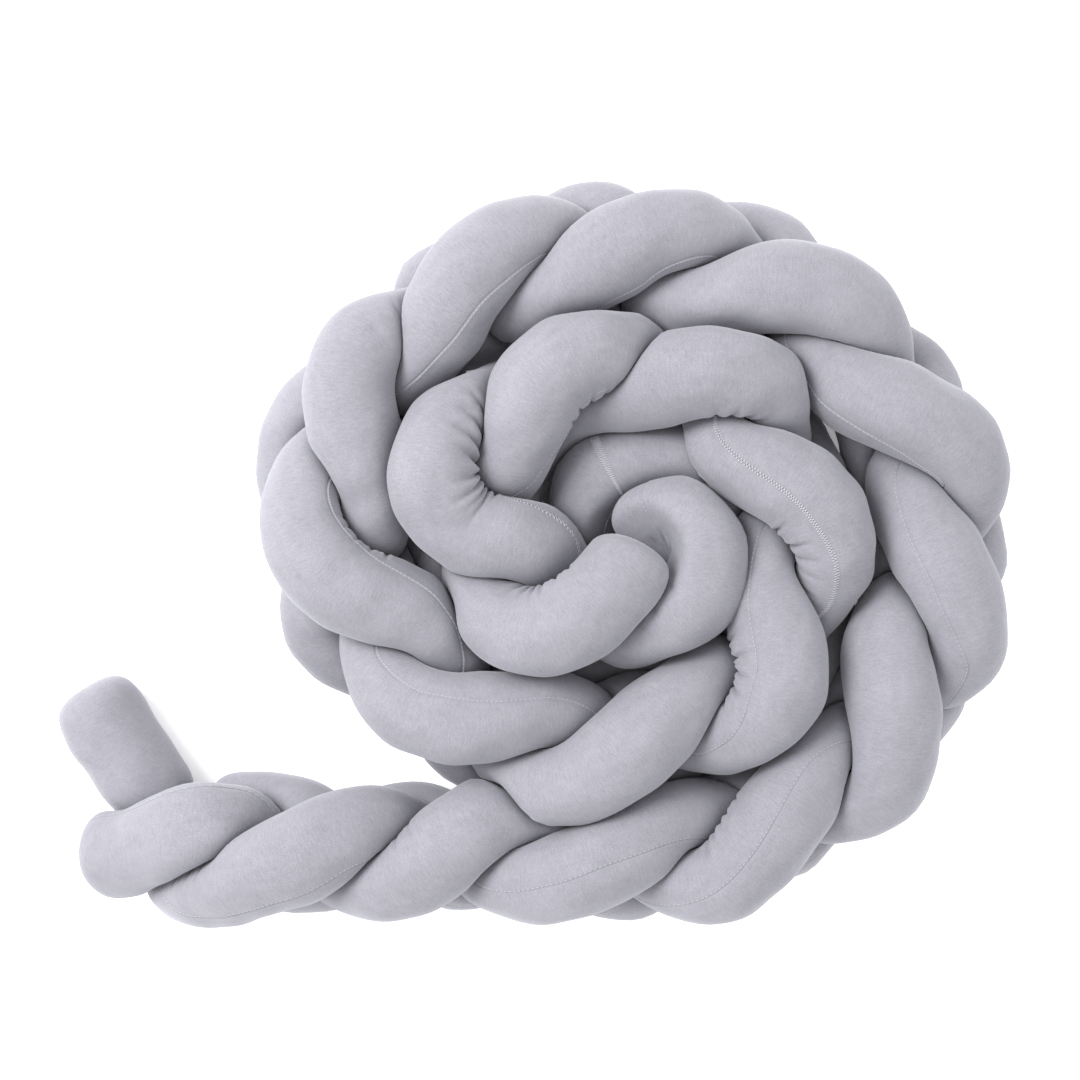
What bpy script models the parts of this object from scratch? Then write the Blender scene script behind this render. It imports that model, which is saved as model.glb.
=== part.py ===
"""Crib bumper: three filled velour tubes, plaited, stood on edge and rolled into a flat spiral.

Sizes are in millimetres, with Z up and the floor at zero, and the meshes are made in metres.
The plait's folds are numbered from the loose tail to the centre of the spiral. Every third fold
belongs to the same tube: it crosses on top there, dives on the inside of the spiral, passes under
the next two folds and comes up on the outside.
"""

from collections import namedtuple

import bpy
import numpy as np

METRES = 0.001
UP = np.array((0.0, 0.0, 1.0))

# The tube and the plait: the tube's filled radius, the height of the plait's middle above the floor,
# how far a tube rises and falls about it, and how far it swings to either side.
TUBE_RADIUS = 39.4
MIDDLE_HEIGHT = 84.0
HALF_HEIGHT = 49.0
SWING = 24.0

# The rounded ends: their length, and the power of their outline, where 2 is a round one.
END_LENGTH = 36.0
END_ROUNDNESS = 2.4

# How tubes press on each other: the space kept on each side of a contact, the share of the inner
# room that a bend fills, the length of tube that counts as one bend, how far off a neighbour is
# still looked for, how sharply a squeezed side flattens, and how much a squeezed tube swells.
CLEARANCE = 0.45
BEND_SHARE = 0.96
SAME_BEND = 50.0
REACH = 220.0
SOFTNESS = 9
MOST_SWELL = 1.04
SWELL_PASSES = 8
SWELL_POWER = 0.8
SWELL_WINDOW = 9
NO_LIMIT = 1000.0

# The mesh: the spacing of the points on a tube's line, the corners round a ring, the points from
# one ring to the next, the points that carry a ring near an end, and how often faces are drawn in.
LINE_STEP = 6.0
SIDES = 14
RINGS_APART = 4
END_RINGS = (1, 2, 4)
DRAW_PASSES = 5
FINE_POINTS = 6000
KNOT_POWER = 0.8

COLOUR = (0.56, 0.56, 0.60, 1.0)
ROUGHNESS = 0.9

# Where the line of the plait passes before its first fold and after its last one: fold, x, y, rise.
SPINE_START = ((1, -296, -249, -10),)
SPINE_END = ((21, 15, -55, 15), (22, 103, -34, 0), (23, 103, 18, 0))

# One row a fold: where the tube comes into view, its crown, and where it dives, then how far the
# crown stands above the plait's usual top, and how far out the tube under the next gap lies.
Fold = namedtuple("Fold", "number lead crown dive rise lean")
FOLDS = (
    Fold(2, (-258, -286), (-201, -264), (-139, -247), -2, 0),
    Fold(3, (-124, -282), (-78, -262), (-22, -234), -12, 0),
    Fold(4, (-9, -283), (60, -268), (139, -241), -4, 3),
    Fold(5, (156, -283), (205, -243), (252, -189), 0, -2),
    Fold(6, (298, -203), (313, -133), (317, -69), 0, 18),
    Fold(7, (373, -86), (355, -16), (336, 57), 0, 11),
    Fold(8, (377, 70), (328, 117), (260, 160), 0, 11),
    Fold(9, (285, 201), (215, 226), (132, 223), 0, 21),
    Fold(10, (150, 270), (75, 258), (-1, 222), 0, 12),
    Fold(11, (11, 270), (-58, 231), (-96, 173), 0, -21),
    Fold(12, (-141, 174), (-156, 127), (-138, 53), 0, 34),
    Fold(13, (-195, 31), (-160, -28), (-88, -69), 0, 10),
    Fold(14, (-112, -123), (-52, -144), (21, -144), 0, 11),
    Fold(15, (12, -201), (88, -166), (151, -120), 10, 2),
    Fold(16, (185, -150), (215, -98), (202, -25), 10, 14),
    Fold(17, (260, 1), (226, 55), (176, 90), 10, 0),
    Fold(18, (199, 141), (145, 152), (72, 138), 17, 26),
    Fold(19, (71, 170), (16, 150), (-21, 85), 18, 80),
    Fold(20, (-59, 113), (-82, 63), (-58, 24), 18, 0),
)
# Where, in folds from its crown, a tube's lead and dive lie, and its points under the next folds, each
# with its share of the lean.
VIEW_SPREAD = 0.55
UNDER = ((1.12, 0.85), (1.5, 1.0), (1.88, 0.25))

# The loose ends, which follow no rule: the centre of each tube from its outer tip to its first fold,
# and from its last fold to its inner tip.
HEADS = {
    "strand_a": (
        (-294, -250, 36),
        (-268, -246, 34),
        (-235, -245, 38),
        (-199, -256, 54),
        (-173, -273, 78),
    ),
    "strand_b": (
        (-401, -275, 52),
        (-365, -270, 64),
        (-329, -259, 86),
        (-291, -245, 104),
        (-265, -249, 94),
        (-243, -268, 66),
        (-211, -290, 46),
        (-176, -286, 37),
        (-147, -268, 35),
        (-116, -254, 37),
        (-83, -255, 46),
        (-57, -264, 63),
    ),
    "strand_c": (
        (-410, -126, 36),
        (-373, -186, 34),
        (-349, -228, 34),
        (-330, -271, 38),
        (-304, -294, 62),
    ),
}
TAILS = {
    "strand_a": (
        (41, 132, 92),
        (14, 107, 65),
        (-11, 79, 49),
        (-18, 48, 46),
        (-26, 18, 54),
        (-38, -18, 86),
        (-36, -42, 114),
        (-20, -59, 134),
        (0, -67, 146),
        (22, -64, 153),
        (47, -49, 156),
        (73, -27, 154),
        (87, -13, 152),
        (97, 1, 148),
    ),
    "strand_b": (
        (-47, 57, 92),
        (-76, 32, 55),
        (-79, -4, 40),
        (-52, -33, 38),
        (-10, -26, 38),
        (28, -24, 44),
        (56, -36, 66),
        (74, -56, 96),
        (97, -63, 118),
        (128, -49, 134),
        (144, -28, 138),
        (147, -5, 138),
        (143, 12, 136),
        (131, 24, 131),
        (113, 24, 122),
        (98, 17, 113),
        (89, 11, 105),
    ),
    "strand_c": (
        (-16, 8, 136),
        (10, -4, 118),
        (21, -30, 93),
        (25, -62, 66),
        (34, -90, 46),
        (64, -104, 37),
        (114, -97, 36),
        (157, -68, 40),
        (180, -13, 48),
        (174, 39, 64),
        (154, 72, 82),
        (120, 79, 91),
        (88, 79, 93),
        (63, 68, 90),
        (57, 44, 81),
        (60, 13, 66),
    ),
}
STRANDS = tuple(HEADS)


def unit(vectors):
    return vectors / np.linalg.norm(vectors, axis=-1, keepdims=True)


def natural_spline(knots, values, at):
    """Smooth curve through the values at the knots, straight at both ends."""
    knots = np.asarray(knots, float)
    values = np.asarray(values, float)
    count = len(knots)
    width = np.diff(knots)
    system = np.eye(count)
    right = np.zeros_like(values)
    slopes = np.diff(values, axis=0) / width[:, None]
    for i in range(1, count - 1):
        system[i, i - 1 : i + 2] = width[i - 1], 2 * (width[i - 1] + width[i]), width[i]
        right[i] = 6 * (slopes[i] - slopes[i - 1])
    bend = np.linalg.solve(system, right)
    i = np.clip(np.searchsorted(knots, at) - 1, 0, count - 2)
    back = (knots[i + 1] - at)[:, None]
    on = (at - knots[i])[:, None]
    w = width[i][:, None]
    curve = (bend[i] * back**3 + bend[i + 1] * on**3) / (6 * w)
    curve += (values[i] / w - bend[i] * w / 6) * back
    return curve + (values[i + 1] / w - bend[i + 1] * w / 6) * on


def spine_rows():
    """The line of the plait through its crowns: fold, x, y, rise."""
    crowns = [(f.number, *f.crown, f.rise) for f in FOLDS]
    return np.array([*SPINE_START, *crowns, *SPINE_END], float)


SPINE = spine_rows()
FOLD_GRID = np.linspace(SPINE[0, 0], SPINE[-1, 0], FINE_POINTS)
SPINE_GRID = natural_spline(SPINE[:, 0], SPINE[:, 1:], FOLD_GRID)


def spine_at(fold):
    """Place, rise and outward direction of the plait's line at a fold position."""
    index = int(np.searchsorted(FOLD_GRID, fold))
    x, y, rise = SPINE_GRID[index]
    along = unit(SPINE_GRID[index + 1, :2] - SPINE_GRID[index - 1, :2])
    return np.array((x, y)), rise, np.array((along[1], -along[0]))


def fold_beside(x, y, guess):
    """Fold position nearest to a point, looked for around a guess."""
    near = np.abs(FOLD_GRID - guess) < 1
    away = (SPINE_GRID[near, 0] - x) ** 2 + (SPINE_GRID[near, 1] - y) ** 2
    return FOLD_GRID[near][away.argmin()]


def height(fold, own_fold, rise):
    """Height of a tube's centre as it goes over its own fold and under the next two."""
    wave = np.cos(2 * np.pi * (fold - own_fold) / 3)
    return MIDDLE_HEIGHT + HALF_HEIGHT * wave + rise * (1 + wave) / 2


def over_points(fold):
    """The three points of the stretch that shows from above."""
    points = []
    for place, offset in ((fold.lead, -VIEW_SPREAD), (fold.crown, 0), (fold.dive, VIEW_SPREAD)):
        at = fold_beside(*place, fold.number + offset)
        points.append((*place, height(at, fold.number, fold.rise)))
    return points


def under_points(fold):
    """The points of the stretch that passes under the next two folds."""
    leans = np.array([(f.number + 0.5, f.lean) for f in FOLDS])
    points = []
    for step, share in UNDER:
        at = fold.number + step
        place, rise, outward = spine_at(at)
        lean = share * np.interp(at, leans[:, 0], leans[:, 1])
        side = lean - SWING * np.sin(4 * np.pi * step / 3)
        points.append((*(place + outward * side), height(at, fold.number, rise)))
    return points


def centreline(name):
    """Evenly spaced points along the middle of one tube."""
    folds = [f for f in FOLDS if f.number % len(STRANDS) == STRANDS.index(name)]
    points = list(HEADS[name])
    for fold in folds:
        points += over_points(fold)
        if fold is not folds[-1]:
            points += under_points(fold)
    points += TAILS[name]
    chords = np.linalg.norm(np.diff(points, axis=0), axis=1)
    knots = np.concatenate(([0], np.cumsum(chords**KNOT_POWER)))
    fine = natural_spline(knots, points, np.linspace(0, knots[-1], FINE_POINTS))
    run = np.concatenate(([0], np.cumsum(np.linalg.norm(np.diff(fine, axis=0), axis=1))))
    even = np.linspace(0, run[-1], round(run[-1] / LINE_STEP) + 1)
    return np.stack([np.interp(even, run, fine[:, k]) for k in range(3)], axis=1)


def ring_directions(line):
    """Unit vectors round each point of the line, in pairs placed evenly about straight down."""
    ahead = unit(np.gradient(line, axis=0))
    side = unit(np.cross(ahead, UP))
    over = np.cross(side, ahead)
    turn = 2 * np.pi * (np.arange(SIDES) + 0.5) / SIDES
    return np.sin(turn)[None, :, None] * side[:, None] - np.cos(turn)[None, :, None] * over[:, None]


def reach_to(points, centre, directions, gap):
    """Radius at which each direction is as far from the nearest of the points as from the centre."""
    away = points - centre
    square = (away**2).sum(axis=1)
    towards = directions @ away.T + gap
    radius = (square - gap**2) / (2 * np.maximum(towards, 1e-3))
    return np.where(towards > 1e-3, radius, NO_LIMIT).min(axis=1, initial=NO_LIMIT)


def room_around(line, directions, others):
    """Free radius round each point of the line, up to the neighbouring tubes and its own bends."""
    others = np.vstack(others)
    room = np.empty(directions.shape[:2])
    for i, centre in enumerate(line):
        close = np.linalg.norm(others - centre, axis=1) < REACH
        room[i] = reach_to(others[close], centre, directions[i], CLEARANCE)
        apart = np.abs(np.arange(len(line)) - i) * LINE_STEP
        near = np.linalg.norm(line - centre, axis=1) < REACH
        gap = CLEARANCE * np.clip(apart[near & (apart > 0)] / SAME_BEND - 1, 0, 1)
        own = reach_to(line[near & (apart > 0)], centre, directions[i], gap)
        room[i] = np.minimum(room[i], BEND_SHARE * own)
    return room


def end_taper(count):
    """Share of the full radius along the tube, rounded off at both ends."""
    run = np.arange(count) * LINE_STEP
    to_end = np.clip(np.minimum(run, run[-1] - run) / END_LENGTH, 0, 1)
    return (1 - (1 - to_end) ** END_ROUNDNESS) ** (1 / END_ROUNDNESS)


def perimeter(radii):
    """Length round each ring of corners."""
    following = np.roll(radii, -1, axis=1)
    corner = np.cos(2 * np.pi / SIDES)
    return np.sqrt(radii**2 + following**2 - 2 * radii * following * corner).sum(axis=1)


def smooth_along(values):
    """Running average down the length of the tube."""
    kernel = np.ones(SWELL_WINDOW) / SWELL_WINDOW
    padded = np.pad(values, SWELL_WINDOW // 2, mode="edge")
    return np.convolve(padded, kernel, mode="valid")


def squeezed(radius, room):
    """Radius that eases off where the room gets short."""
    return (radius[:, None] ** -SOFTNESS + room**-SOFTNESS) ** (-1 / SOFTNESS)


def tube_radii(line, directions, others):
    """Radii of the filled tube: pressed in where it is squeezed, and a little fuller beside that."""
    room = room_around(line, directions, others)
    full = np.full(len(line), TUBE_RADIUS)
    round_ring = perimeter(np.full((1, SIDES), TUBE_RADIUS))
    swell = np.ones(len(line))
    for _ in range(SWELL_PASSES):
        short = (round_ring / perimeter(squeezed(full * swell, room))) ** SWELL_POWER
        swell = smooth_along(np.clip(swell * short, 1, MOST_SWELL))
    radii = np.minimum(squeezed(full * swell, room), room) * end_taper(len(line))[:, None]
    downward = np.maximum(-directions[..., 2], 1e-6)
    return np.minimum(radii, line[:, None, 2] / downward)


def ring_places(count):
    """Which points of the line carry a ring: close together at the ends, then evenly spaced."""
    last = count - 1
    first = END_RINGS[-1]
    inner = np.linspace(first, last - first, round((last - 2 * first) / RINGS_APART) + 1)
    ends = [*END_RINGS[:-1], *(last - n for n in END_RINGS[:-1])]
    return np.unique(np.concatenate((ends, np.round(inner)))).astype(int)


def past_middle(points, place, line, others):
    """How far the points reach past the middle between their own bend and everything else."""
    window = round(2 * SAME_BEND / LINE_STEP)
    start = max(place - window, 0)
    own = line[start : place + window]
    rest = np.vstack((others, line[:start], line[place + window :]))
    to_own = np.linalg.norm(points[:, None] - own, axis=2).min(axis=1)
    to_rest = np.linalg.norm(points[:, None] - rest, axis=2).min(axis=1)
    return np.maximum(CLEARANCE - (to_rest - to_own) / 2, 0)


def drawn_in(radii, places, line, directions, others):
    """Radii of the chosen rings, less what the flat faces between corners take from a neighbour."""
    others = np.vstack(others)
    radii = radii[places]
    for _ in range(DRAW_PASSES):
        rings = line[places][:, None] + radii[..., None] * directions[places]
        less = np.zeros_like(radii)
        for i in range(len(places) - 1):
            for shift, next_ring in ((1, i), (0, i + 1), (1, i + 1), (-1, i + 1)):
                middles = (rings[i] + np.roll(rings[next_ring], -shift, axis=0)) / 2
                excess = past_middle(middles, places[i], line, others)
                less[i] = np.maximum(less[i], excess)
                less[next_ring] = np.maximum(less[next_ring], np.roll(excess, shift))
        radii = radii - less
    return radii


def tube_mesh(name, line, others):
    """Closed mesh of one tube: rings of corners, with a point at each end."""
    directions = ring_directions(line)
    places = ring_places(len(line))
    radii = drawn_in(tube_radii(line, directions, others), places, line, directions, others)
    rings = line[places][:, None] + radii[..., None] * directions[places]
    corners = np.vstack((rings.reshape(-1, 3), line[:1], line[-1:])) * METRES
    start = len(rings) * SIDES
    last_ring = start - SIDES
    faces = []
    for side in range(SIDES):
        following = (side + 1) % SIDES
        faces.append((start, side, following))
        faces.append((start + 1, last_ring + following, last_ring + side))
        for ring in range(0, last_ring, SIDES):
            quad = (side, side + SIDES, following + SIDES, following)
            faces.append(tuple(ring + corner for corner in quad))
    mesh = bpy.data.meshes.new(name)
    mesh.from_pydata(corners.tolist(), [], faces)
    mesh.shade_smooth()
    return mesh


def velour(name):
    """Pale grey short-pile cloth."""
    material = bpy.data.materials.new(name)
    material.use_nodes = True
    shader = material.node_tree.nodes["Principled BSDF"]
    shader.inputs["Base Color"].default_value = COLOUR
    shader.inputs["Roughness"].default_value = ROUGHNESS
    shader.inputs["Metallic"].default_value = 0.0
    return material


def clear_scene():
    for thing in list(bpy.data.objects):
        bpy.data.objects.remove(thing, do_unlink=True)


def main():
    clear_scene()
    lines = {name: centreline(name) for name in STRANDS}
    for name, line in lines.items():
        others = [other for key, other in lines.items() if key != name]
        mesh = tube_mesh(name, line, others)
        mesh.materials.append(velour(f"velour_{name}"))
        bpy.context.collection.objects.link(bpy.data.objects.new(name, mesh))


main()
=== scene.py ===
"""Crib bumper, dressed: three filled velour tubes, plaited, stood on edge and rolled into a spiral.

The tubes' lines are the CAD model's own, in millimetres. Each tube is built again as a fine closed
skin: pressed flat where it meets its neighbours, creased on the inside of its bends, and closed by a
topstitched seam down its length. A point of a skin is given by its run, the distance along the tube
from its outer tip, and its turn, the angle about the tube's line measured from straight down.
"""

from collections import namedtuple

import bpy
import numpy as np
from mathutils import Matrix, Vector


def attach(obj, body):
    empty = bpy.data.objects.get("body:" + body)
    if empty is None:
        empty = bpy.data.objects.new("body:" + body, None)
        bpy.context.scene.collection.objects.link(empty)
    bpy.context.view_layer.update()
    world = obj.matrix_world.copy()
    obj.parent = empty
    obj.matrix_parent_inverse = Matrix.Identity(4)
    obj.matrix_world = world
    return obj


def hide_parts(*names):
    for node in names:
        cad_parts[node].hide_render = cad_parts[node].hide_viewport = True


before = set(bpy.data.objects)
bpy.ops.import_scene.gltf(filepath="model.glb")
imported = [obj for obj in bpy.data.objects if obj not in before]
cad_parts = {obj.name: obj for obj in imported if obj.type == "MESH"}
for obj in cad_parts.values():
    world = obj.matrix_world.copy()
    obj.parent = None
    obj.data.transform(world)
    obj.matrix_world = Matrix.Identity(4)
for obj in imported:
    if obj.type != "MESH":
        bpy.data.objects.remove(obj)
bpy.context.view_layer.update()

METRES = 0.001
UP = np.array((0.0, 0.0, 1.0))

# The tube and the plait, as in the CAD model: the tube's filled radius, the height of the plait's
# middle above the floor, how far a tube rises and falls about it, and how far it swings sideways.
TUBE_RADIUS = 39.4
MIDDLE_HEIGHT = 84.0
HALF_HEIGHT = 49.0
SWING = 24.0

# The closed ends, a little squarer than in the CAD model: their length and how square they are.
END_LENGTH = 34.0
END_ROUNDNESS = 2.9

# How tubes press on each other: the space kept on each side of a contact, the share of the inner
# room that a bend fills, the length of tube that counts as one bend, how far off a neighbour is
# still looked for, how sharply a squeezed side flattens, and how much a squeezed tube swells.
CLEARANCE = 0.25
BEND_SHARE = 0.96
SAME_BEND = 50.0
REACH = 170.0
SOFTNESS = 9
MOST_SWELL = 1.04
# How that swelling is found: in how many passes, what power of the missing girth each makes up for,
# and over how many rows it is evened out.
SWELL_PASSES = 8
SWELL_POWER = 0.8
SWELL_WINDOW = 17
# The free radius where nothing is in the way.
NO_LIMIT = 90.0

# A tube's line: the distance between its points, the number of points of the finer curve they are
# taken from, and the power of a chord that spaces the curve's knots.
LINE_STEP = 6.0
FINE_POINTS = 6000
KNOT_POWER = 0.8

# The length of each tube's inner end that isn't limited by its own bends. The cloth of these tight
# bends runs into itself on the inside.
FOLDED_LENGTHS = {"strand_a": 0.0, "strand_b": 150.0, "strand_c": 150.0}

# The grid on which the room round a tube is measured: the distance between its rows, and how many
# directions it has round the tube.
GRID_STEP = 3.0
GRID_TURNS = 72

# The skin's mesh. Its rings are closer together where the cloth is creased and at the ends, and from
# there the spacing grows with the distance. The spacing is worked out in steps down the tube. Its
# columns follow the seam: the distances of the close ones beside it, and the number of the rest.
RING_STEP = 5.6
CREASED_STEP = 1.7
CREASED_REACH = 5.0
CREASED_EASE = 0.12
END_STEP = 0.5
END_EASE = 0.16
MOST_RINGS = 1170
SPACING_STEP = 0.25
SEAM_COLUMNS = (0.5, 1.0, 1.6, 2.4, 3.4, 4.8, 6.8, 9.5)
PLAIN_COLUMNS = 34

# The filling's slow unevenness: height, number of waves, and shortest and longest wave.
LUMP_HEIGHT = 0.8
LUMP_WAVES = 26
LUMP_SHORTEST = 34.0
LUMP_LONGEST = 120.0
LUMP_SEED = 11

# Creases: the width of a valley on the cloth, how far the cloth swells between two valleys, how
# unevenly they lie, and the least share of the tube's run that is left on the inside of a bend.
CREASE_WIDTH = 1.3
CREASE_LIFT = 0.3
CREASE_UNEVEN = 0.3
LEAST_INSIDE = 0.35
CREASE_SEED = 5
# The most that an uneven crease is moved, in shares of the pitch, turned, in radians, and tilted, in
# millimetres a radian. Each is scaled by the unevenness above.
CREASE_SHIFT = 0.8
CREASE_TURN = 0.3
CREASE_TILT = 14
# A crease's cross-section, in widths: how far it is followed, how steeply its valley rises, and where
# the swelling beside it lies and how wide that is.
CREASE_EXTENT = 5
VALLEY_STEEPNESS = 1.5
LIFT_AT = 2.8
LIFT_WIDTH = 1.2
# Rows over which a tube's bend is averaged.
BEND_WINDOW = 5
# The share of the free room that lumps, creases and seams may fill.
FREE_SHARE = 0.7

# The seam's cross-section: the stitched valley, the raised lap beside it and the wide dip. The last
# line says how far from a tip the long seam begins to show and from where on it is complete.
SEAM_VALLEY = 0.58
SEAM_VALLEY_WIDTH = 0.75
SEAM_LAP = 0.35
SEAM_LAP_AT = 2.3
SEAM_LAP_WIDTH = 1.0
SEAM_DIP = 0.45
SEAM_DIP_WIDTH = 7.0
SEAM_FADE = (4, 20)

# Plain stitches: how far beside the long seam they lie, from one to the next, and the length and
# radius of one. On a seam that runs round the tube they lie on the seam itself. Then, for every
# stitch: its number of sides, the length and the thickness of its narrowed tips in shares of its
# radius, and how far its middle stands off the cloth, in radii.
STITCH_BESIDE = 1.4
STITCH_PITCH = 3.3
STITCH_LENGTH = 1.6
STITCH_RADIUS = 0.32
STITCH_SIDES = 6
STITCH_TIP_LENGTH = 0.6
STITCH_TIP_THICKNESS = 0.7
STITCH_LIFT = 0.4

# Where the line of the plait passes before its first fold and after its last one: fold, x, y, rise.
SPINE_START = ((1, -296, -249, -10),)
SPINE_END = ((21, 15, -55, 15), (22, 103, -34, 0), (23, 103, 18, 0))

# One row a fold: where the tube comes into view, its crown, and where it dives, then how far the
# crown stands above the plait's usual top, and how far out the tube under the next gap lies.
Fold = namedtuple("Fold", "number lead crown dive rise lean")
FOLDS = (
    Fold(2, (-258, -286), (-201, -264), (-139, -247), -2, 0),
    Fold(3, (-124, -282), (-78, -262), (-22, -234), -12, 0),
    Fold(4, (-9, -283), (60, -268), (139, -241), -4, 3),
    Fold(5, (156, -283), (205, -243), (252, -189), 0, -2),
    Fold(6, (298, -203), (313, -133), (317, -69), 0, 18),
    Fold(7, (373, -86), (355, -16), (336, 57), 0, 11),
    Fold(8, (377, 70), (328, 117), (260, 160), 0, 11),
    Fold(9, (285, 201), (215, 226), (132, 223), 0, 21),
    Fold(10, (150, 270), (75, 258), (-1, 222), 0, 12),
    Fold(11, (11, 270), (-58, 231), (-96, 173), 0, -21),
    Fold(12, (-141, 174), (-156, 127), (-138, 53), 0, 34),
    Fold(13, (-195, 31), (-160, -28), (-88, -69), 0, 10),
    Fold(14, (-112, -123), (-52, -144), (21, -144), 0, 11),
    Fold(15, (12, -201), (88, -166), (151, -120), 10, 2),
    Fold(16, (185, -150), (215, -98), (202, -25), 10, 14),
    Fold(17, (260, 1), (226, 55), (176, 90), 10, 0),
    Fold(18, (199, 141), (145, 152), (72, 138), 17, 26),
    Fold(19, (71, 170), (16, 150), (-21, 85), 18, 80),
    Fold(20, (-59, 113), (-82, 63), (-58, 24), 18, 0),
)
# Where, in folds from its crown, a tube's lead and dive lie, and its points under the next folds, each
# with its share of the lean.
VIEW_SPREAD = 0.55
UNDER = ((1.12, 0.85), (1.5, 1.0), (1.88, 0.25))

# The loose ends, which follow no rule: the centre of each tube from its outer tip to its first fold,
# and from its last fold to its inner tip.
HEADS = {
    "strand_a": (
        (-294, -250, 36),
        (-268, -246, 34),
        (-235, -245, 38),
        (-199, -256, 54),
        (-173, -273, 78),
    ),
    "strand_b": (
        (-401, -275, 52),
        (-365, -270, 64),
        (-329, -259, 86),
        (-291, -245, 104),
        (-265, -249, 94),
        (-243, -268, 66),
        (-211, -290, 46),
        (-176, -286, 37),
        (-147, -268, 35),
        (-116, -254, 37),
        (-83, -255, 46),
        (-57, -264, 63),
    ),
    "strand_c": (
        (-410, -126, 36),
        (-373, -186, 34),
        (-349, -228, 34),
        (-330, -271, 38),
        (-304, -294, 62),
    ),
}
TAILS = {
    "strand_a": (
        (41, 132, 92),
        (14, 107, 65),
        (-11, 79, 49),
        (-18, 48, 46),
        (-26, 18, 54),
        (-38, -18, 86),
        (-36, -42, 114),
        (-20, -59, 134),
        (0, -67, 146),
        (22, -64, 153),
        (47, -49, 156),
        (73, -27, 154),
        (87, -13, 152),
        (97, 1, 148),
    ),
    "strand_b": (
        (-47, 57, 92),
        (-76, 32, 55),
        (-79, -4, 40),
        (-52, -33, 38),
        (-10, -26, 38),
        (28, -24, 44),
        (56, -36, 66),
        (74, -56, 96),
        (97, -63, 118),
        (128, -49, 134),
        (144, -28, 138),
        (147, -5, 138),
        (143, 12, 136),
        (131, 24, 131),
        (113, 24, 122),
        (98, 17, 113),
        (89, 11, 105),
    ),
    "strand_c": (
        (-16, 8, 136),
        (10, -4, 118),
        (21, -30, 93),
        (25, -62, 66),
        (34, -90, 46),
        (64, -104, 37),
        (114, -97, 36),
        (157, -68, 40),
        (180, -13, 48),
        (174, 39, 64),
        (154, 72, 82),
        (120, 79, 91),
        (88, 79, 93),
        (63, 68, 90),
        (57, 44, 81),
        (60, 13, 66),
    ),
}
STRANDS = tuple(HEADS)

# Where each tube's seam lies: its run, and its turn in degrees past the tube's top, towards the
# outside of the spiral. Between the places it runs on evenly.
SEAMS = {
    "strand_a": (
        (0, 180), (3088, 180), (3210, 300), (3270, 318), (3341, 262), (3432, 200), (3546, 180),
    ),
    "strand_b": (
        (0, -60), (132, -70), (150, -85), (168, -66), (180, -50), (300, 20), (462, 29), (486, 15),
        (516, 2), (558, -3), (582, 5), (636, 13), (860, 60), (978, 72), (1008, 21), (1038, -18),
        (1068, -29), (1098, -28), (1140, -29), (1176, -30), (1381, -5), (1537, -13), (1566, -31),
        (1626, -67), (1656, -62), (1700, -95), (1760, -100), (1900, -60), (2064, -20), (2106, -48),
        (2154, -63), (2202, -46), (2232, -34), (2431, 20), (2610, 35), (2628, 32), (2658, -3),
        (2694, -38), (2742, -34), (2784, -19), (3004, -60), (3209, -55), (3227, -72), (3245, -78),
        (3269, -80), (3281, -76), (3299, -62), (3323, -50), (3380, -20), (3540, 95), (3620, 115),
        (3875, 115),
    ),
    "strand_c": (
        (0, 120), (120, 70), (192, 10), (216, 20), (240, 28), (276, 42), (342, 45), (366, 39),
        (384, 33), (563, 70), (726, 76), (756, 44), (786, 6), (816, -7), (870, -16), (906, -23),
        (930, -19), (960, -9), (1106, -30), (1262, -60), (1302, -42), (1338, -62), (1386, -55),
        (1428, -45), (1446, -44), (1662, -25), (1846, -24), (1872, -38), (1908, -45), (1944, -32),
        (1980, -20), (2022, -36), (2221, 0), (2400, 8), (2436, -19), (2478, -29), (2526, -18),
        (2592, -28), (2777, 20), (2922, 24), (2934, 22), (2946, 15), (2958, 3), (2970, -6),
        (2982, -13), (2994, -19), (3012, -21), (3030, -19), (3048, -15), (3066, -11), (3084, -8),
        (3102, -12), (3132, -8), (3329, -60), (3489, -105), (3590, -72), (3606, -72), (3624, -72),
        (3642, -62), (3660, -54), (3672, -47), (3684, -42), (3929, -60), (4140, -110), (4175, -75),
        (4200, -50), (4224, -25), (4254, 0),
    ),
}
# The length of tube over which the seam's turn is evened out.
SEAM_SMOOTH = 27.0

# The cloth's darkest and palest tone, and the thread's palest with the share of it that its darkest is.
COLOURS = ((0.176, 0.174, 0.197), (0.296, 0.293, 0.33))
THREAD = (0.41, 0.406, 0.45)
THREAD_DARKEST = 0.8

# How the pile varies: for each pattern its scale along and across the tube in cells a metre, its
# detail and its roughness. Then how much each pattern adds to the tone, roughness and height.
Pattern = namedtuple("Pattern", "scale detail roughness")
PATTERNS = {
    "blotch": Pattern((16, 16, 16), 3, 0.5),
    "brushed": Pattern((75, 110, 110), 4, 0.6),
    "streak": Pattern((900, 130, 130), 2, 0.5),
    "grain": Pattern((1500, 1500, 1500), 3, 0.6),
}
TONE_SHARES = {"blotch": 0.45, "brushed": 0.5, "streak": 0.6, "grain": 1.6}
ROUGHNESS_SHARES = {"brushed": 0.2, "grain": 0.15}
HEIGHT_SHARES = {"grain": 0.6, "streak": 0.3, "brushed": 0.8}
MIDDLE_TONE = 0.5
MIDDLE_ROUGHNESS = 0.86
MIDDLE_PILE = 0.5
PILE_STRENGTH = 0.55
PILE_DEPTH = 0.0006
TWIST = Pattern((2600, 2600, 2600), 1, 0.5)

# What is the same all over each material, by the shader's own names.
VELOUR_LOOK = {
    "Sheen Weight": 0.35,
    "Sheen Roughness": 0.45,
    "Sheen Tint": (0.93, 0.93, 1.0, 1),
    "Specular IOR Level": 0.2,
}
THREAD_LOOK = {"Roughness": 0.6}

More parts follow.
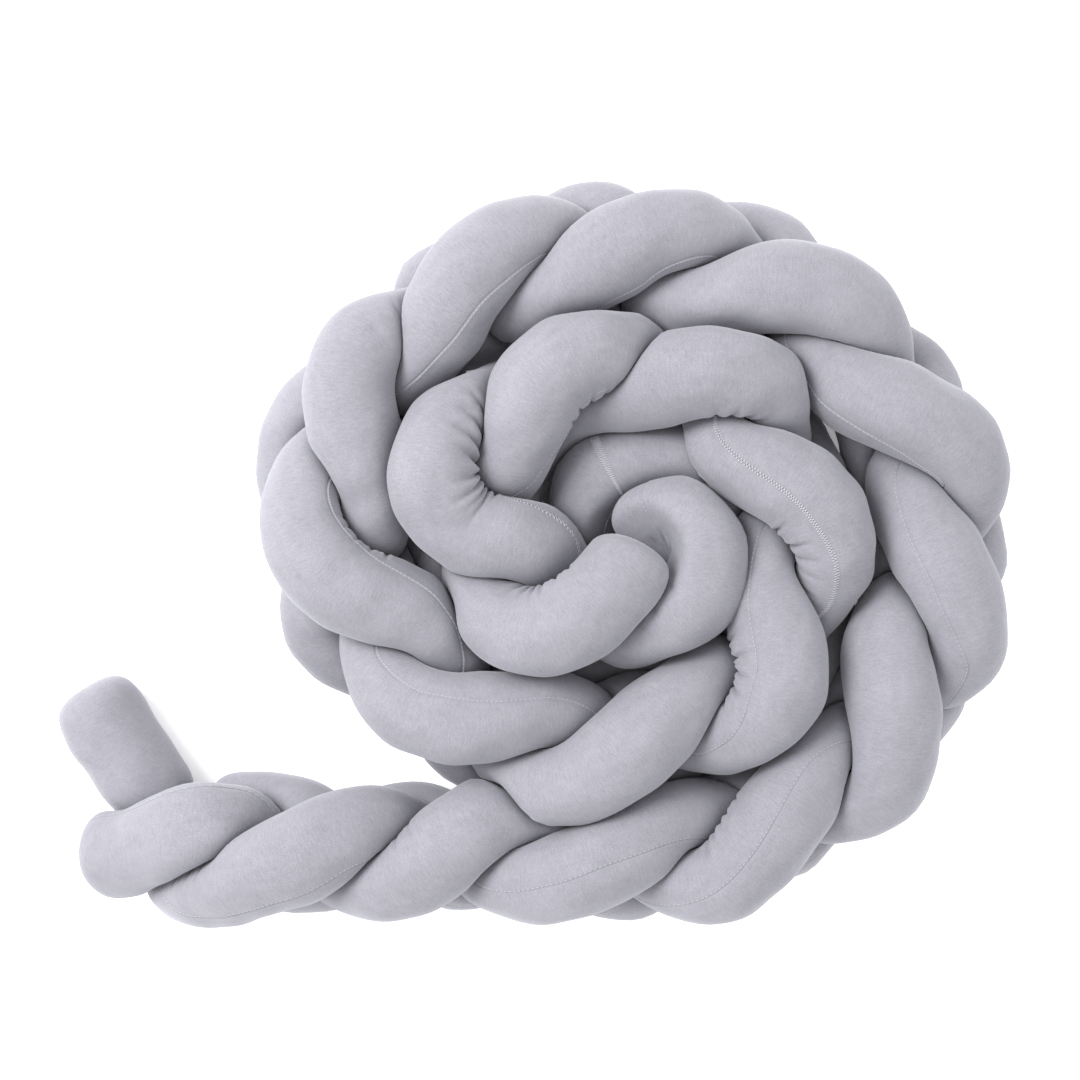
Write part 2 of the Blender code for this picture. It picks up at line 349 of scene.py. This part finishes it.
# Where a bend gathers the cloth: tube, from, to, how many creases, the turn of the first and of the
# last in degrees past the tube's top, half of the turn they cover, and their depth.
Gather = namedtuple("Gather", "name start end count first last spread depth")
GATHERS = (
    Gather("strand_a", 226, 244, 2, -50, -62, 36, 2.2),
    Gather("strand_a", 1776, 1798, 2, 25, 8, 30, 1.8),
    Gather("strand_a", 2940, 2994, 4, -62, -80, 40, 2.4),
    Gather("strand_a", 3351, 3483, 9, -45, -92, 50, 2.8),
    Gather("strand_b", 2041, 2176, 8, -45, -92, 32, 1.8),
    Gather("strand_b", 2641, 2753, 6, -60, -88, 48, 3.6),
    Gather("strand_b", 3200, 3262, 4, -82, -92, 34, 2.6),
    Gather("strand_b", 3706, 3754, 3, -45, -60, 50, 3.0),
    Gather("strand_b", 3835, 3865, 3, -50, -60, 45, 2.2),
    Gather("strand_c", 234, 264, 3, -30, -42, 32, 2.0),
    Gather("strand_c", 798, 848, 5, -62, -96, 34, 2.2),
    Gather("strand_c", 2367, 2393, 2, -30, -40, 40, 2.0),
    Gather("strand_c", 2933, 3019, 5, -35, -80, 42, 3.0),
    Gather("strand_c", 3486, 3622, 9, -38, -95, 66, 4.6),
)

# The seams that close the ends run round the tube: tube, distance from its inner tip, and whether the
# stitches are slanted.
EndSeam = namedtuple("EndSeam", "name before_tip slanted")
END_SEAMS = (
    EndSeam("strand_c", 72, True),
    EndSeam("strand_b", 34, False),
)
# The mesh beside such a seam: how far to either side its rings are close together, and how close.
END_SEAM_REACH = 10.0
END_SEAM_STEP = 0.8

# Stretches sewn with slanted stitches across the seam: tube, from, to. Then how far one slanted stitch
# goes along the seam and to either side of it, and its radius.
ZIGZAGS = (("strand_a", 3189, 3311), ("strand_c", 2908, 3150), ("strand_c", 3589, 3729))
ZIGZAG_PITCH = 1.05
ZIGZAG_HALF = 1.9
ZIGZAG_RADIUS = 0.42

# The studio: half the floor's side in millimetres, the floor's material, whose faint glow is painted
# light that washes out the shadows cast on the floor and lights the tubes from below, the light from all
# round, and the lights with their name, place and size in metres and power in watts.
FLOOR_HALF = 4000.0
GLOWING_FLOOR_LOOK = {
    "Base Color": (0.93, 0.93, 0.935, 1),
    "Roughness": 0.9,
    "Specular IOR Level": 0.1,
    # Painted light: the floor glows a little so that the shadows cast on it are filled in.
    "Emission Color": (1, 1, 1, 1),
    "Emission Strength": 0.25,
}
WORLD_STRENGTH = 1.42
LIGHTS = (("softbox", (-1.75, 0.9, 2.1), 1.6, 88.0),)

# The camera: sensor and lens in millimetres, its place and the nearest it sees in metres.
SENSOR = 36.0
LENS = 56.67
CAMERA = (0.0081, 0.0096, 1.60)
NEAREST = 0.05


def unit(vectors):
    return vectors / np.linalg.norm(vectors, axis=-1, keepdims=True)


def rounded_step(values, low, high):
    """Smooth rise from 0 at low to 1 at high."""
    share = np.clip((values - low) / (high - low), 0, 1)
    return share * share * (3 - 2 * share)


def natural_spline(knots, values, at):
    """Smooth curve through the values at the knots, straight at both ends."""
    knots = np.asarray(knots, float)
    values = np.asarray(values, float)
    count = len(knots)
    width = np.diff(knots)
    system = np.eye(count)
    right = np.zeros_like(values)
    slopes = np.diff(values, axis=0) / width[:, None]
    for i in range(1, count - 1):
        system[i, i - 1 : i + 2] = width[i - 1], 2 * (width[i - 1] + width[i]), width[i]
        right[i] = 6 * (slopes[i] - slopes[i - 1])
    bend = np.linalg.solve(system, right)
    i = np.clip(np.searchsorted(knots, at) - 1, 0, count - 2)
    back = (knots[i + 1] - at)[:, None]
    on = (at - knots[i])[:, None]
    w = width[i][:, None]
    curve = (bend[i] * back**3 + bend[i + 1] * on**3) / (6 * w)
    curve += (values[i] / w - bend[i] * w / 6) * back
    return curve + (values[i + 1] / w - bend[i + 1] * w / 6) * on


def spine_rows():
    """The line of the plait through its crowns: fold, x, y, rise."""
    crowns = [(f.number, *f.crown, f.rise) for f in FOLDS]
    return np.array([*SPINE_START, *crowns, *SPINE_END], float)


SPINE = spine_rows()
FOLD_GRID = np.linspace(SPINE[0, 0], SPINE[-1, 0], FINE_POINTS)
SPINE_GRID = natural_spline(SPINE[:, 0], SPINE[:, 1:], FOLD_GRID)


def spine_at(fold):
    """Place, rise and outward direction of the plait's line at a fold position."""
    index = int(np.searchsorted(FOLD_GRID, fold))
    x, y, rise = SPINE_GRID[index]
    along = unit(SPINE_GRID[index + 1, :2] - SPINE_GRID[index - 1, :2])
    return np.array((x, y)), rise, np.array((along[1], -along[0]))


def fold_beside(x, y, guess):
    """Fold position nearest to a point, looked for around a guess."""
    near = np.abs(FOLD_GRID - guess) < 1
    away = (SPINE_GRID[near, 0] - x) ** 2 + (SPINE_GRID[near, 1] - y) ** 2
    return FOLD_GRID[near][away.argmin()]


def height(fold, own_fold, rise):
    """Height of a tube's centre as it goes over its own fold and under the next two."""
    wave = np.cos(2 * np.pi * (fold - own_fold) / 3)
    return MIDDLE_HEIGHT + HALF_HEIGHT * wave + rise * (1 + wave) / 2


def over_points(fold):
    """The three points of the stretch that shows from above."""
    points = []
    for place, offset in ((fold.lead, -VIEW_SPREAD), (fold.crown, 0), (fold.dive, VIEW_SPREAD)):
        at = fold_beside(*place, fold.number + offset)
        points.append((*place, height(at, fold.number, fold.rise)))
    return points


def under_points(fold):
    """The points of the stretch that passes under the next two folds."""
    leans = np.array([(f.number + 0.5, f.lean) for f in FOLDS])
    points = []
    for step, share in UNDER:
        at = fold.number + step
        place, rise, outward = spine_at(at)
        lean = share * np.interp(at, leans[:, 0], leans[:, 1])
        side = lean - SWING * np.sin(4 * np.pi * step / 3)
        points.append((*(place + outward * side), height(at, fold.number, rise)))
    return points


def centreline(name):
    """Evenly spaced points along the middle of one tube."""
    folds = [f for f in FOLDS if f.number % len(STRANDS) == STRANDS.index(name)]
    points = list(HEADS[name])
    for fold in folds:
        points += over_points(fold)
        if fold is not folds[-1]:
            points += under_points(fold)
    points += TAILS[name]
    chords = np.linalg.norm(np.diff(points, axis=0), axis=1)
    knots = np.concatenate(([0], np.cumsum(chords**KNOT_POWER)))
    fine = natural_spline(knots, points, np.linspace(0, knots[-1], FINE_POINTS))
    run = np.concatenate(([0], np.cumsum(np.linalg.norm(np.diff(fine, axis=0), axis=1))))
    even = np.linspace(0, run[-1], round(run[-1] / LINE_STEP) + 1)
    return np.stack([np.interp(even, run, fine[:, k]) for k in range(3)], axis=1)


def fine_line(name):
    """Points of the tube's line on the grid's rows."""
    line = centreline(name)
    knots = np.arange(len(line))
    rows = np.arange(0, len(line) - 1 + 1e-9, GRID_STEP / LINE_STEP)
    return natural_spline(knots, line, rows)


def frames(line):
    """Unit vectors ahead, to the right and over the line at each of its points."""
    ahead = unit(np.gradient(line, axis=0))
    side = unit(np.cross(ahead, UP))
    return ahead, side, np.cross(side, ahead)


def around(side, over, turn):
    """Unit vectors at the given turns from straight down."""
    return np.sin(turn)[..., None] * side - np.cos(turn)[..., None] * over


def reach_to(points, centre, directions, gap):
    """Radius at which each direction is as far from the nearest of the points as from the centre."""
    away = points - centre
    square = (away**2).sum(axis=1)
    towards = directions @ away.T + gap
    radius = (square - gap**2) / (2 * np.maximum(towards, 1e-3))
    return np.where(towards > 1e-3, radius, NO_LIMIT).min(axis=1, initial=NO_LIMIT)


def room_around(name, line, directions, others):
    """Free radius round each point of the line, up to its neighbours and, but for a folded inner
    end, its own bends.
    """
    room = np.empty(directions.shape[:2])
    for i, centre in enumerate(line):
        close = np.linalg.norm(others - centre, axis=1) < REACH
        room[i] = reach_to(others[close], centre, directions[i], CLEARANCE)
        if (len(line) - i) * GRID_STEP < FOLDED_LENGTHS[name]:
            continue
        apart = np.abs(np.arange(len(line)) - i) * GRID_STEP
        near = (np.linalg.norm(line - centre, axis=1) < REACH) & (apart >= LINE_STEP)
        gap = CLEARANCE * np.clip(apart[near] / SAME_BEND - 1, 0, 1)
        own = reach_to(line[near], centre, directions[i], gap)
        room[i] = np.minimum(room[i], BEND_SHARE * own)
    return room


def end_taper(run, length):
    """Share of the full radius along the tube, rounded off at both ends."""
    to_end = np.clip(np.minimum(run, length - run) / END_LENGTH, 0, 1)
    return (1 - (1 - to_end) ** END_ROUNDNESS) ** (1 / END_ROUNDNESS)


def perimeter(radii):
    """Length round each ring of corners."""
    following = np.roll(radii, -1, axis=1)
    corner = np.cos(2 * np.pi / radii.shape[1])
    return np.sqrt(radii**2 + following**2 - 2 * radii * following * corner).sum(axis=1)


def running_mean(values, window):
    """Running average down the length of the tube."""
    kernel = np.ones(window) / window
    return np.convolve(np.pad(values, window // 2, mode="edge"), kernel, mode="valid")


def squeezed(radius, room):
    """Radius that eases off where the room gets short."""
    return (radius[:, None] ** -SOFTNESS + room**-SOFTNESS) ** (-1 / SOFTNESS)


def full_radii(room):
    """Radii of the filled tube before its ends are rounded off, a little fuller beside a squeeze."""
    full = np.full(len(room), TUBE_RADIUS)
    round_ring = perimeter(np.full((1, room.shape[1]), TUBE_RADIUS))
    swell = np.ones(len(room))
    for _ in range(SWELL_PASSES):
        short = (round_ring / perimeter(squeezed(full * swell, room))) ** SWELL_POWER
        swell = running_mean(np.clip(swell * short, 1, MOST_SWELL), SWELL_WINDOW)
    return np.minimum(squeezed(full * swell, room), room)


def cubic_weights(share):
    """Weights of four neighbouring rows at a share of the way between the middle two."""
    s = share[..., None]
    first = -0.5 * s + s**2 - 0.5 * s**3
    second = 1 - 2.5 * s**2 + 1.5 * s**3
    third = 0.5 * s + 2 * s**2 - 1.5 * s**3
    fourth = -0.5 * s**2 + 0.5 * s**3
    return np.concatenate((first, second, third, fourth), axis=-1)


def read_rows(values, rows):
    """Smooth reading of a table at fractional rows."""
    below = np.clip(np.floor(rows).astype(int), 0, len(values) - 2)
    weights = cubic_weights(rows - below)
    total = 0
    for k in range(4):
        taken = values[np.clip(below + k - 1, 0, len(values) - 1)]
        weight = weights[..., k]
        total = total + (weight[..., None] if values.ndim > 1 else weight) * taken
    return total


def read_grid(values, rows, turn):
    """Smooth reading of a grid of rows and turns at fractional rows and at any turn."""
    columns = turn / (2 * np.pi) * values.shape[1]
    left = np.floor(columns).astype(int)
    below = np.clip(np.floor(rows).astype(int), 0, len(values) - 2)
    across = cubic_weights(columns - left)
    along = cubic_weights(rows - below)
    total = np.zeros(np.broadcast(rows, turn).shape)
    for k in range(4):
        row = np.clip(below + k - 1, 0, len(values) - 1)
        for m in range(4):
            column = (left + m - 1) % values.shape[1]
            total += along[..., k] * across[..., m] * values[row, column]
    return total


Tube = namedtuple("Tube", "name line ahead side over room full length")


def tube_of(name, lines):
    """One tube's line with its free room and its filled radii, without seams and creases."""
    line = lines[name]
    ahead, side, over = frames(line)
    turn = 2 * np.pi * np.arange(GRID_TURNS) / GRID_TURNS
    directions = around(side[:, None], over[:, None], turn[None])
    others = np.vstack([other for key, other in lines.items() if key != name])
    room = room_around(name, line, directions, others)
    return Tube(name, line, ahead, side, over, room, full_radii(room), (len(line) - 1) * GRID_STEP)


def seam_turn(tube, run):
    """Turn of the seam, in radians from straight down."""
    table = np.array(SEAMS[tube.name], float)
    steps = np.arange(0, tube.length + GRID_STEP, GRID_STEP)
    turns = np.interp(steps, table[:, 0], table[:, 1])
    window = 2 * round(SEAM_SMOOTH / GRID_STEP / 2) + 1
    return np.pi - np.radians(np.interp(run, steps, running_mean(turns, window)))


def bends(tube):
    """At each row: how tight the tube bends, and its radius on the inside of the bend."""
    curve = np.gradient(tube.ahead, axis=0) / GRID_STEP
    curve = np.stack([running_mean(curve[:, k], BEND_WINDOW) for k in range(3)], axis=1)
    to_side = (curve * tube.side).sum(axis=1)
    to_over = (curve * tube.over).sum(axis=1)
    inner = np.arctan2(to_side, -to_over)
    radius = read_grid(tube.full, np.arange(len(tube.line)), inner)
    return np.hypot(to_side, to_over), radius


Crease = namedtuple("Crease", "run turn depth width tilt spread")


def creases_of(tube, draw):
    """The creases of one tube, a little unevenly spaced where the cloth is gathered."""
    bend, radius = bends(tube)
    creases = []
    for gather in (g for g in GATHERS if g.name == tube.name):
        for share in np.linspace(0, 1, gather.count):
            uneven = CREASE_UNEVEN * draw.uniform(-1, 1, 5)
            pitch = (gather.end - gather.start) / gather.count
            run = gather.start + share * (gather.end - gather.start) + CREASE_SHIFT * pitch * uneven[0]
            row = round(run / GRID_STEP)
            inside = np.clip(1 - radius[row] * bend[row], LEAST_INSIDE, 1)
            past_top = gather.first + share * (gather.last - gather.first)
            creases.append(Crease(
                run=run,
                turn=np.pi - np.radians(past_top) + CREASE_TURN * uneven[1],
                depth=gather.depth * (1 + uneven[2]),
                width=CREASE_WIDTH / inside,
                tilt=CREASE_TILT * uneven[3],
                spread=np.radians(gather.spread) * (1 + uneven[4]),
            ))
    return creases


def ring_runs(tube, creases):
    """Runs of the rings: closer together where the tube is creased, and close at the ends."""
    steps = np.arange(0, tube.length, SPACING_STEP)
    spacing = np.full(len(steps), RING_STEP)
    for crease in creases:
        away = np.maximum(np.abs(steps - crease.run) - CREASED_REACH, 0)
        spacing = np.minimum(spacing, CREASED_STEP + CREASED_EASE * away)
    to_end = np.minimum(steps, tube.length - steps)
    spacing = np.minimum(spacing, END_STEP + END_EASE * to_end)
    for seam in (end for end in END_SEAMS if end.name == tube.name):
        near = np.abs(tube.length - steps - seam.before_tip) < END_SEAM_REACH
        spacing = np.where(near, np.minimum(spacing, END_SEAM_STEP), spacing)
    count = np.cumsum(SPACING_STEP / spacing)
    rings = min(round(count[-1]), MOST_RINGS)
    return np.interp(np.arange(1, rings) / rings * count[-1], count, steps + SPACING_STEP)


def column_offsets():
    """Distances of the columns from the seam, round half the tube to either side."""
    half = np.pi * TUBE_RADIUS
    plain = np.linspace(SEAM_COLUMNS[-1], half, PLAIN_COLUMNS + 1)[1:]
    right = np.concatenate((SEAM_COLUMNS, plain))
    return np.concatenate((-right[:-1][::-1], (0,), right))


def lumps(points):
    """Slow unevenness of the filling."""
    draw = np.random.default_rng(LUMP_SEED)
    total = np.zeros(points.shape[:-1])
    for _ in range(LUMP_WAVES):
        direction = unit(draw.normal(size=3))
        wave = draw.uniform(LUMP_SHORTEST, LUMP_LONGEST)
        phase = draw.uniform(0, 2 * np.pi)
        total += np.sin(points @ direction * 2 * np.pi / wave + phase)
    return LUMP_HEIGHT * total / np.sqrt(LUMP_WAVES / 2)


def creased(run, turn, creases):
    """How far the creases draw the cloth in, and lift it between them."""
    drawn = np.zeros(run.shape)
    rings = run.mean(axis=1)
    for crease in creases:
        reach = CREASE_EXTENT * crease.width + abs(crease.tilt)
        rows = slice(*np.searchsorted(rings, (crease.run - reach, crease.run + reach)))
        beside = (turn[rows] - crease.turn + np.pi) % (2 * np.pi) - np.pi
        fade = np.cos(np.clip(beside / crease.spread, -1, 1) * np.pi / 2) ** 2
        away = (run[rows] - crease.run - crease.tilt * beside) / crease.width
        valley = (1 + away**2) ** -VALLEY_STEEPNESS
        lift = CREASE_LIFT * np.exp(-((np.abs(away) - LIFT_AT) / LIFT_WIDTH) ** 2)
        drawn[rows] += crease.depth * fade * (lift - valley)
    return drawn


def seam_profile(offset):
    """Height of the cloth across the seam."""
    valley = SEAM_VALLEY * np.exp(-((offset / SEAM_VALLEY_WIDTH) ** 2))
    lap = SEAM_LAP * np.exp(-(((offset - SEAM_LAP_AT) / SEAM_LAP_WIDTH) ** 2))
    dip = SEAM_DIP * np.exp(-((offset / SEAM_DIP_WIDTH) ** 2))
    return lap - valley - dip


Skin = namedtuple("Skin", "points outward run offsets")


def skin_of(tube, creases):
    """Corners of the tube's skin, ring by ring."""
    rings = ring_runs(tube, creases)[:, None]
    offsets = column_offsets()[None]
    turn = seam_turn(tube, rings) + offsets / TUBE_RADIUS
    run = np.broadcast_to(rings, turn.shape)
    rows = run / GRID_STEP
    centre = read_rows(tube.line, rows)
    outward = unit(around(read_rows(tube.side, rows), read_rows(tube.over, rows), turn))
    room = read_grid(tube.room, rows, turn)
    taper = end_taper(run, tube.length)
    base = read_grid(tube.full, rows, turn) * taper
    change = lumps(centre + base[..., None] * outward)
    change += creased(run, turn, creases)
    to_end = np.minimum(run, tube.length - run)
    change += seam_profile(offsets) * rounded_step(to_end, *SEAM_FADE)
    for seam in END_SEAMS:
        if seam.name == tube.name:
            change += seam_profile(tube.length - rings - seam.before_tip)
    change *= taper
    free = np.maximum(room - base, 0)
    radius = np.minimum(base + np.minimum(change, FREE_SHARE * free), room)
    downward = np.maximum(-outward[..., 2], 1e-6)
    radius = np.minimum(radius, centre[..., 2] / downward)
    return Skin(centre + radius[..., None] * outward, outward, rings[:, 0], offsets[0])


def mesh_of(name, points, faces):
    """A smooth piece with corners given in millimetres."""
    mesh = bpy.data.meshes.new(name)
    mesh.from_pydata((points * METRES).tolist(), [], faces)
    mesh.shade_smooth()
    piece = bpy.data.objects.new(name, mesh)
    bpy.context.collection.objects.link(piece)
    return piece


def skin_piece(tube, skin):
    """The closed mesh of one tube, with its cloth coordinates."""
    rings, sides = skin.points.shape[:2]
    points = np.vstack((skin.points.reshape(-1, 3), tube.line[:1], tube.line[-1:]))
    start = rings * sides
    last = start - sides
    corner = np.arange(last).reshape(rings - 1, sides)
    following = np.roll(corner, -1, axis=1)
    quads = np.stack((corner, corner + sides, following + sides, following), axis=-1).reshape(-1, 4)
    faces = quads.tolist()
    for side in range(sides):
        after = (side + 1) % sides
        faces.append((start, side, after))
        faces.append((start + 1, last + after, last + side))
    piece = mesh_of(f"velour_{tube.name[-1]}", points, faces)
    turn = np.broadcast_to(skin.offsets / TUBE_RADIUS, (rings, sides))
    run = np.broadcast_to(skin.run[:, None], (rings, sides))
    cloth = np.stack((run, TUBE_RADIUS * np.cos(turn), TUBE_RADIUS * np.sin(turn)), axis=-1)
    ends = ((0, 0, 0), (tube.length, 0, 0))
    cloth = np.vstack((cloth.reshape(-1, 3), ends)) * METRES
    stored = piece.data.attributes.new("cloth", "FLOAT_VECTOR", "POINT")
    stored.data.foreach_set("vector", cloth.ravel().astype(np.float32))
    return piece


def on_skin(skin, run, offset):
    """Place and outward direction on the skin beside its seam."""
    row = np.interp(run, skin.run, np.arange(len(skin.run)))
    column = np.interp(offset, skin.offsets, np.arange(len(skin.offsets)))
    r = min(int(row), len(skin.run) - 2)
    c = min(int(column), len(skin.offsets) - 2)
    u = row - r
    v = column - c

    def blend(values):
        upper = values[r, c] * (1 - v) + values[r, c + 1] * v
        lower = values[r + 1, c] * (1 - v) + values[r + 1, c + 1] * v
        return upper * (1 - u) + lower * u

    return blend(skin.points), blend(skin.outward)


def capsule(start, end, outward, radius):
    """Corners and faces of a short thread from start to end."""
    ahead = unit(end - start)
    side = unit(np.cross(ahead, outward))
    over = np.cross(side, ahead)
    turn = 2 * np.pi * np.arange(STITCH_SIDES) / STITCH_SIDES
    ring = np.cos(turn)[:, None] * side + np.sin(turn)[:, None] * over
    places = (
        (start - STITCH_TIP_LENGTH * radius * ahead, STITCH_TIP_THICKNESS),
        (start, 1),
        (end, 1),
        (end + STITCH_TIP_LENGTH * radius * ahead, STITCH_TIP_THICKNESS),
    )
    points = [centre + share * radius * ring for centre, share in places]
    points = np.vstack((*points, start - radius * ahead, end + radius * ahead))
    faces = []
    poles = 4 * STITCH_SIDES
    for k in range(STITCH_SIDES):
        n = (k + 1) % STITCH_SIDES
        for ring_start in range(0, 3 * STITCH_SIDES, STITCH_SIDES):
            upper = ring_start + STITCH_SIDES
            faces.append((ring_start + k, ring_start + n, upper + n, upper + k))
        faces.append((poles, n, k))
        faces.append((poles + 1, 3 * STITCH_SIDES + k, 3 * STITCH_SIDES + n))
    return points, faces


def stitch_row(place, first, last, beside, is_slanted):
    """Stitches from first to last along a seam: slanted ones across it, or plain ones beside it."""
    stitches = []
    along = first
    turned = 1
    while along < last:
        if is_slanted(along):
            turned = -turned
            start, out = place(along, -ZIGZAG_HALF * turned)
            end, _ = place(along + ZIGZAG_PITCH, ZIGZAG_HALF * turned)
            along += ZIGZAG_PITCH
            radius = ZIGZAG_RADIUS
        else:
            start, out = place(along, beside)
            end, _ = place(along + STITCH_LENGTH, beside)
            along += STITCH_PITCH
            radius = STITCH_RADIUS
        stitches.append((start, end, out, radius))
    return stitches


def long_stitches(tube, skin):
    """The stitches of the seam down the tube's length."""
    margin = END_LENGTH / 3

    def place(along, across):
        return on_skin(skin, along, across)

    def is_slanted(along):
        return any(name == tube.name and start < along < end for name, start, end in ZIGZAGS)

    return stitch_row(place, margin, tube.length - margin, STITCH_BESIDE, is_slanted)


def round_stitches(seam, tube, skin):
    """The stitches of a seam that runs round the tube near its end."""
    run = tube.length - seam.before_tip
    first = skin.offsets[0]

    def place(along, across):
        return on_skin(skin, run + across, along)

    return stitch_row(place, first, -first - STITCH_PITCH, 0, lambda along: seam.slanted)


def stitches_piece(tube, skin):
    """Every visible stitch of one tube, clear of the floor, as one piece."""
    stitches = long_stitches(tube, skin)
    for seam in (end for end in END_SEAMS if end.name == tube.name):
        stitches += round_stitches(seam, tube, skin)
    points = []
    faces = []
    count = 0
    for start, end, out, radius in stitches:
        if min(start[2], end[2]) < 2 * radius:
            continue
        lift = STITCH_LIFT * radius * out
        made, sides = capsule(start + lift, end + lift, out, radius)
        points.append(made)
        faces += [tuple(count + corner for corner in side) for side in sides]
        count += len(made)
    return mesh_of(f"stitches_{tube.name[-1]}", np.vstack(points), faces)


def node(tree, kind, **settings):
    made = tree.nodes.new(kind)
    for key, value in settings.items():
        setattr(made, key, value)
    return made


def noise(tree, vector, pattern):
    """Noise on the given coordinates, with a scale for each of them."""
    scaled = node(tree, "ShaderNodeVectorMath", operation="MULTIPLY")
    scaled.inputs[1].default_value = pattern.scale
    tree.links.new(vector, scaled.inputs[0])
    made = node(tree, "ShaderNodeTexNoise", noise_dimensions="3D")
    made.inputs["Scale"].default_value = 1.0
    made.inputs["Detail"].default_value = pattern.detail
    made.inputs["Roughness"].default_value = pattern.roughness
    tree.links.new(scaled.outputs[0], made.inputs["Vector"])
    return made.outputs["Fac"]


def weighted(tree, patterns, shares, start):
    """Sum of a start value and patterns about their middle, each times its share."""
    terms = [(patterns[name], share) for name, share in shares.items()]
    total = None
    for value, weight in terms:
        part = node(tree, "ShaderNodeMath", operation="MULTIPLY_ADD")
        tree.links.new(value, part.inputs[0])
        part.inputs[1].default_value = weight
        if total is None:
            part.inputs[2].default_value = start - 0.5 * sum(w for _, w in terms)
        else:
            tree.links.new(total, part.inputs[2])
        total = part.outputs[0]
    return total


def material_of(name, look):
    """A new material, its nodes and its shader, with what is the same all over set."""
    material = bpy.data.materials.new(name)
    material.use_nodes = True
    tree = material.node_tree
    shader = tree.nodes["Principled BSDF"]
    for socket, value in look.items():
        shader.inputs[socket].default_value = value
    return material, tree, shader


def coloured(tree, shader, tone, darkest, palest):
    """Colour the shader between two tones."""
    mix = node(tree, "ShaderNodeMix", data_type="RGBA")
    tree.links.new(tone, mix.inputs["Factor"])
    mix.inputs["A"].default_value = (*darkest, 1)
    mix.inputs["B"].default_value = (*palest, 1)
    tree.links.new(mix.outputs["Result"], shader.inputs["Base Color"])


def velour():
    """Short pale pile: blotches where it lies differently, fine streaks, grain and a soft sheen."""
    material, tree, shader = material_of("velour_cloth", VELOUR_LOOK)
    cloth = node(tree, "ShaderNodeAttribute", attribute_name="cloth").outputs["Vector"]
    patterns = {name: noise(tree, cloth, pattern) for name, pattern in PATTERNS.items()}
    tone = weighted(tree, patterns, TONE_SHARES, MIDDLE_TONE)
    coloured(tree, shader, tone, *COLOURS)
    rough = weighted(tree, patterns, ROUGHNESS_SHARES, MIDDLE_ROUGHNESS)
    tree.links.new(rough, shader.inputs["Roughness"])
    high = weighted(tree, patterns, HEIGHT_SHARES, MIDDLE_PILE)
    bump = node(tree, "ShaderNodeBump")
    bump.inputs["Strength"].default_value = PILE_STRENGTH
    bump.inputs["Distance"].default_value = PILE_DEPTH
    tree.links.new(high, bump.inputs["Height"])
    tree.links.new(bump.outputs["Normal"], shader.inputs["Normal"])
    return material


def thread():
    """Twisted sewing thread, a shade paler than the cloth."""
    material, tree, shader = material_of("seam_thread", THREAD_LOOK)
    place = node(tree, "ShaderNodeTexCoord").outputs["Object"]
    twist = noise(tree, place, TWIST)
    coloured(tree, shader, twist, [THREAD_DARKEST * part for part in THREAD], THREAD)
    return material


def studio():
    """Glowing white floor, white surroundings, one big soft light from the upper left, and the camera."""
    half = FLOOR_HALF
    corners = np.array(((-half, -half, 0), (half, -half, 0), (half, half, 0), (-half, half, 0)))
    floor = mesh_of("studio_floor", corners, [(0, 1, 2, 3)])
    # The floor's material glows a little: painted light that fills in the shadows cast on the floor and
    # brightens the tubes' undersides.
    glowing_floor, _, _ = material_of("studio_floor", GLOWING_FLOOR_LOOK)
    floor.data.materials.append(glowing_floor)
    world = bpy.data.worlds.new("studio")
    world.use_nodes = True
    back = world.node_tree.nodes["Background"]
    back.inputs["Color"].default_value = (1.0, 1.0, 1.0, 1)
    back.inputs["Strength"].default_value = WORLD_STRENGTH
    bpy.context.scene.world = world
    for name, place, size, power in LIGHTS:
        light = bpy.data.lights.new(name, "AREA")
        light.shape = "DISK"
        light.size = size
        light.energy = power
        lamp = bpy.data.objects.new(name, light)
        lamp.location = place
        lamp.rotation_euler = (-Vector(place)).to_track_quat("-Z", "Y").to_euler()
        bpy.context.collection.objects.link(lamp)
    lens = bpy.data.cameras.new("camera")
    lens.sensor_width = SENSOR
    lens.lens = LENS
    lens.clip_start = NEAREST
    camera = bpy.data.objects.new("camera", lens)
    camera.location = CAMERA
    bpy.context.collection.objects.link(camera)
    bpy.context.scene.camera = camera
    bpy.context.scene.view_settings.view_transform = "Standard"


def main():
    """Set up the studio, then dress each tube. The creases of all tubes share one row of random draws."""
    studio()
    lines = {name: fine_line(name) for name in STRANDS}
    draw = np.random.default_rng(CREASE_SEED)
    cloth = velour()
    sewn = thread()
    for name in STRANDS:
        tube = tube_of(name, lines)
        skin = skin_of(tube, creases_of(tube, draw))
        padded = skin_piece(tube, skin)
        padded.data.materials.append(cloth)
        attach(padded, "root")
        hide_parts(name)
        stitches = stitches_piece(tube, skin)
        stitches.data.materials.append(sewn)
        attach(stitches, "root")


main()
